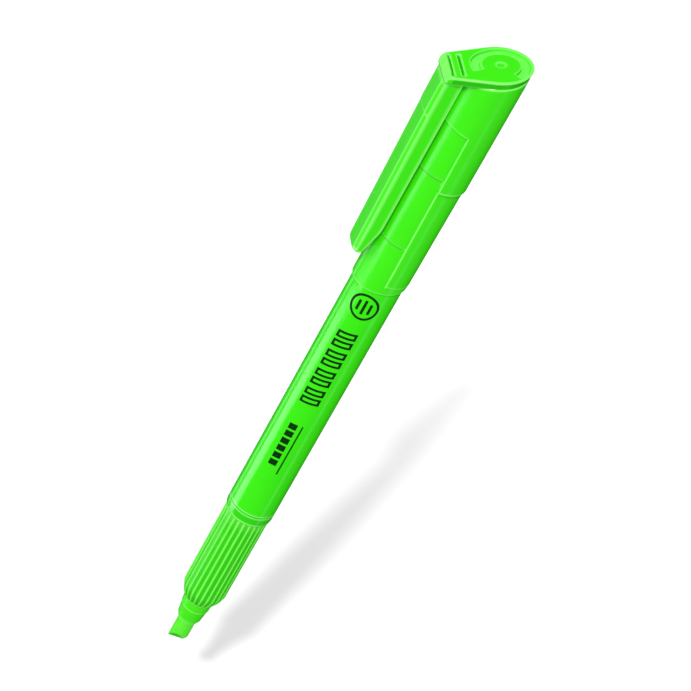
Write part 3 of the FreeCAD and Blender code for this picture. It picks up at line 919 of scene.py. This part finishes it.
def make_cap():
    columns = cap_columns()
    rings = []
    for radius in (0.05, CAP_BORE - 0.4, CAP_BORE - 0.1):
        rings.append(side_ring(columns, TOP_Z - ROOF, TOP_SLOPE, lambda a, z, r=radius: r))
    for radius, z_axis, slope in (
            (CAP_BORE, TOP_Z - ROOF - 0.3, TOP_SLOPE),
            (CAP_BORE, CAP_BORE_TOP_Z, 0.0),
            (CAP_BORE, CAP_BORE_LOW_Z, 0.0),
            (CAP_BORE, MOUTH_Z + MOUTH_BORE_LEN + 0.5, 0.0),
            (MOUTH_BORE, MOUTH_Z + MOUTH_BORE_LEN, 0.0),
            (MOUTH_BORE, MOUTH_Z + 0.2, MOUTH_SLOPE),
            (MOUTH_BORE + 0.01, MOUTH_Z + 0.08, MOUTH_SLOPE),
            (MOUTH_BORE + 0.05, MOUTH_Z + 0.02, MOUTH_SLOPE),
            (MOUTH_BORE + 0.10, MOUTH_Z, MOUTH_SLOPE),
            (PANEL_R[0] - 0.10, MOUTH_Z, MOUTH_SLOPE),
            (PANEL_R[0] - 0.04, MOUTH_Z + 0.02, MOUTH_SLOPE),
            (PANEL_R[0] - 0.01, MOUTH_Z + 0.08, MOUTH_SLOPE)):
        rings.append(side_ring(columns, z_axis, slope, lambda a, z, r=radius: r))
    for z_axis, slope in side_stations():
        rings.append(side_ring(columns, z_axis, slope, side_radius))
    for radius, depth in ((CROWN_R, PLATE + 0.75), (CROWN_R, PLATE + 0.50), (CROWN_R, PLATE + 0.38),
                          (CROWN_R, PLATE + 0.28), (CROWN_R - 0.02, PLATE + 0.18),
                          (CROWN_R - 0.06, PLATE + 0.10), (CROWN_R - 0.13, PLATE + 0.04)):
        rings.append(side_ring(columns, TOP_Z - depth, TOP_SLOPE, lambda a, z, r=radius: r))
    for inset, depth in ((0.16, PLATE), (0.14, PLATE - 0.08), (PLATE_WAIST, PLATE - 0.20)):
        rings.append(plate_ring(columns, inset, depth, PLATE_WAIST, depth))
    for k in range(1, 8):
        t = k / 8
        rings.append(plate_ring(columns, mix(PLATE_WAIST, 0.0, t), mix(PLATE - 0.20, RIM_ROUND, t),
                                LIP_INSET, mix(PLATE - 0.20, LIP_ROUND, t)))
    rounding = 6
    for k in range(rounding + 1):
        a = math.pi / 2 * k / rounding
        rings.append(plate_ring(columns, RIM_ROUND * (1 - math.cos(a)), RIM_ROUND * (1 - math.sin(a)),
                                mix(LIP_INSET, LIP_ROUND, 1 - math.cos(a)), LIP_ROUND * (1 - math.sin(a))))
    edge = CRESCENT_R + 0.10
    for share in [k / 54 for k in range(1, 54)]:
        rings.append(top_ring(columns, lambda a, s=share: mix(plate_edge(a), edge, s)))
    wall = (0.06, 0.03, 0.0, -0.03, -0.06)
    radii = [edge] + [CRESCENT_R + w for w in wall] + [CRESCENT_R - 0.2]
    radii += spread(CRESCENT_R - 0.35, DISC_R + 0.3, 0.25) + [DISC_R + 0.2]
    radii += [DISC_R + w for w in wall] + [DISC_R - 0.2, DISC_R - 0.4]
    radii += [2.6, 2.0, 1.4, 1.0, 0.85, 0.78, 0.7, 0.62, 0.55, 0.3, 0.05]
    for radius in radii:
        rings.append(top_ring(columns, lambda a, r=radius: r))
    return rings_to_mesh("cap_moulding", rings, CAP_PLASTIC, smooth_angle=38.0, reach=0.13, tone=cap_painted_light)


# ---------------------------------------------------------------- clip

def clip_inner_x(z):
    """The clip's inner edge: straight, then cut away towards the tip."""
    if z >= CLIP_RAMP_Z:
        return CLIP_INNER_X
    return mix(CLIP_TIP_X + CLIP_TIP_DEPTH, CLIP_INNER_X, (z - CLIP_TIP_Z) / (CLIP_RAMP_Z - CLIP_TIP_Z))


def clip_outer_x(z):
    """The clip's outer face leans out towards the top and steps out at CLIP_STEP_Z."""
    below = mix(CLIP_TIP_X, CLIP_STEP_X, (z - CLIP_TIP_Z) / (CLIP_STEP_Z - CLIP_TIP_Z))
    return mix(min(below, CLIP_TIP_X), CLIP_TOP_X, ramp(z, CLIP_STEP_Z - 0.06, CLIP_STEP_Z + 0.1))


def clip_half(z):
    return mix(CLIP_HALF[0], CLIP_HALF[1], (z - CLIP_TIP_Z) / (CLIP_HIGH.z - CLIP_TIP_Z))


def clip_section(z, inset):
    """Half of the U section from the middle of the channel to the middle of the outer face."""
    inner = clip_inner_x(z) - inset
    outer = clip_outer_x(z) + inset
    half = clip_half(z) - inset
    floor = mix(inner, outer + CLIP_FACE, ramp(z, CLIP_CHANNEL_Z, CLIP_CHANNEL_Z + 0.8))
    wall = half - CLIP_WALL
    half_outline = [(floor, wall * k / 4) for k in range(4)]
    half_outline += [(floor, wall - 0.05), (mix(floor, inner, 0.05), wall), (mix(floor, inner, 0.95), wall)]
    half_outline += [(inner, wall + 0.06), (inner, half - 0.10), (inner - 0.03, half - 0.03)]
    half_outline += [(inner - 0.12, half)]
    drop = min(CLIP_CROWN, (inner - outer) * 0.5)
    half_outline += [(mix(inner - 0.12, outer + drop + 0.12, k / 4), half) for k in range(1, 5)]
    half_outline += [(outer + drop + 0.04, half - 0.01), (outer + drop, half - 0.05)]
    chamfer = half - CLIP_CHAMFER
    half_outline += [(outer + drop * (1 - k / 5), mix(half - 0.05, chamfer, k / 5)) for k in range(1, 5)]
    half_outline += [(outer + 0.02, chamfer + 0.10), (outer, chamfer), (outer, chamfer - 0.1)]
    half_outline += [(outer, (chamfer - 0.1) * (1 - k / 8)) for k in range(1, 9)]
    return half_outline


def clip_ring(z, inset=0.0, tip=0.0, slope=0.0):
    """The whole section. tip lowers its middle for the rounded end, slope follows the plate."""
    side = clip_section(z, inset)
    outline = side + [(x, -y) for x, y in reversed(side[1:-1])]
    ring = []
    for x, y in outline:
        lift = tip * 0.5 * (y / CLIP_HALF[0]) ** 2
        ring.append((x, y, z + lift + slope * x))
    return ring


def clip_painted_light(x, y, z):
    """Painted highlight makes the clip's chamfers slightly paler than its plastic, and painted shade makes
    its outer face slightly deeper.
    """
    depth = x - clip_outer_x(z)
    if depth > CLIP_CROWN + 0.05 or z < CLIP_TIP_Z + 0.8:
        return 0.0
    return 0.05 if abs(y) > clip_half(z) - CLIP_CHAMFER + 0.05 else -0.1


def make_clip():
    rings = []
    for k in range(7):
        a = math.pi / 2 * k / 7
        z = CLIP_TIP_Z + CLIP_TIP_ROUND * (1 - math.cos(a))
        rings.append(clip_ring(z, CLIP_TIP_ROUND * (1 - math.sin(a)), 1.0))
    for k in range(12):
        z = CLIP_TIP_Z + CLIP_TIP_ROUND + 0.1 + CLIP_TIP_BOW_LEN * k / 11
        rings.append(clip_ring(z, 0.0, 1.0 - k / 11))
    straight = spread(CLIP_CHANNEL_Z - 0.1, CLIP_CHANNEL_Z + 1.0, 0.15)
    straight += spread(CLIP_RAMP_Z - 0.4, CLIP_STEP_Z - 0.6, 1.2)
    for z in straight + around(CLIP_STEP_Z, 0.06):
        rings.append(clip_ring(z))
    top = TOP_Z - PLATE - CLIP_GAP
    start = CLIP_STEP_Z + 0.6
    for k in range(8):
        t = k / 7
        rings.append(clip_ring(mix(start, top, t), slope=TOP_SLOPE * t))
    return rings_to_mesh("pocket_clip", rings, CAP_PLASTIC, smooth_angle=32.0, reach=0.12, tone=clip_painted_light)


# ---------------------------------------------------------------- assembly

def place(obj, body, slot, *nodes):
    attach(obj, body)
    if nodes:
        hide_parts(*nodes)


def finish_node(node, material):
    """Give a CAD node that stays a procedural finish."""
    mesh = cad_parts[node].data
    mesh.materials.clear()
    mesh.materials.append(material)


place(make_barrel(), "pen", "barrel_green", "barrel")
place(make_grip(), "pen", "grip_green", "grip_section")
place(make_nib(), "pen", "felt_green", "chisel_nib")
place(make_print(), "pen", "barrel_green")
place(make_cap(), "cap", "cap_green", "cap_shell")
place(make_clip(), "clip", "cap_green", "cap_clip")
finish_node("ink_reservoir", WICK)
finish_node("reservoir_film", film_material())
finish_node("tail_plug", BARREL_PLASTIC)
finish_node("inner_cap", liner_material())


# ---------------------------------------------------------------- stage, lights and camera

def view_direction(azimuth, elevation):
    """From the target towards the eye."""
    return Vector((math.sin(azimuth) * math.cos(elevation),
                   -math.cos(azimuth) * math.cos(elevation),
                   math.sin(elevation)))


def make_floor():
    mesh = bpy.data.meshes.new("studio_floor")
    signs = ((-1, -1), (1, -1), (1, 1), (-1, 1))
    corners = [(x * FLOOR_HALF, y * FLOOR_HALF, FLOOR_Z) for x, y in signs]
    mesh.from_pydata(corners, [], [(0, 1, 2, 3)])
    mesh.materials.append(floor_material())
    floor = bpy.data.objects.new("studio_floor", mesh)
    bpy.context.scene.collection.objects.link(floor)
    floor.visible_glossy = False
    floor.visible_diffuse = False


def add_light(light, place_at, look_at):
    obj = bpy.data.objects.new(light.name, light)
    obj.location = place_at
    obj.rotation_euler = (look_at - place_at).to_track_quat("-Z", "Y").to_euler()
    bpy.context.scene.collection.objects.link(obj)
    return obj


def strip_light(name, azimuth, half_angle, radiance, low, high):
    """An upright strip beside the pen that only makes a highlight along it."""
    middle = Vector((0, 0, (low + high) / 2)) * MM
    light = bpy.data.lights.new(name, "AREA")
    light.shape = "RECTANGLE"
    light.size = 2 * STRIP_DISTANCE * MM * math.tan(math.radians(half_angle))
    light.size_y = (high - low) * MM
    light.energy = radiance * math.pi * light.size * light.size_y
    away = view_direction(VIEW_AZIMUTH + math.radians(azimuth), 0.0)
    obj = add_light(light, middle + away * STRIP_DISTANCE * MM, middle)
    obj.visible_camera = False
    obj.visible_diffuse = False


def soft_box(name, place_at, look_at, size, watts):
    """A square light that brightens surfaces without showing in reflections."""
    light = bpy.data.lights.new(name, "AREA")
    light.size = size
    light.energy = watts
    obj = add_light(light, place_at, look_at)
    obj.visible_camera = False
    obj.visible_glossy = False


def make_lights():
    world = bpy.data.worlds.new("studio")
    bpy.context.scene.world = world
    world.use_nodes = True
    background = world.node_tree.nodes["Background"]
    background.inputs["Color"].default_value = (1, 1, 1, 1)
    background.inputs["Strength"].default_value = WORLD_STRENGTH
    world.cycles_visibility.glossy = False
    key = bpy.data.lights.new("key", "SUN")
    key.energy = KEY_STRENGTH
    key.angle = math.radians(KEY_SIZE)
    direction = view_direction(VIEW_AZIMUTH + math.radians(KEY_AZIMUTH), math.radians(KEY_ELEVATION))
    add_light(key, VIEW_TARGET + direction, VIEW_TARGET)
    for name, strip in STRIPS.items():
        strip_light(name, *strip)
    left = view_direction(math.radians(LEFT_FILL_AZIMUTH), math.radians(LEFT_FILL_ELEVATION))
    soft_box("left_fill", VIEW_TARGET + left * LEFT_FILL_DISTANCE, VIEW_TARGET, LEFT_FILL_SIZE, LEFT_FILL)
    shadow_length = (VIEW_TARGET.z - FLOOR_Z) / math.tan(math.radians(KEY_ELEVATION))
    far = Vector((-direction.x, -direction.y, 0)).normalized() * shadow_length * SHADOW_FILL_REACH
    spot = Vector((far.x, far.y, FLOOR_Z))
    above = spot + Vector((0, 0, SHADOW_FILL_HEIGHT))
    soft_box("shadow_fill", above, spot, SHADOW_FILL_SIZE, SHADOW_FILL)


def make_camera():
    camera = bpy.data.cameras.new("camera")
    camera.lens = LENS
    camera.sensor_width = SENSOR
    camera.clip_start = 0.01
    camera.clip_end = 20
    obj = bpy.data.objects.new("camera", camera)
    back = view_direction(VIEW_AZIMUTH, VIEW_ELEVATION)
    turn = (-back).to_track_quat("-Z", "Y").to_matrix().to_4x4()
    stand = Matrix.Translation(VIEW_TARGET + back * VIEW_DISTANCE)
    obj.matrix_world = stand @ turn @ Matrix.Rotation(VIEW_ROLL, 4, "Z")
    bpy.context.scene.collection.objects.link(obj)
    bpy.context.scene.camera = obj


make_floor()
make_lights()
make_camera()
bpy.context.scene.view_settings.view_transform = "Standard"
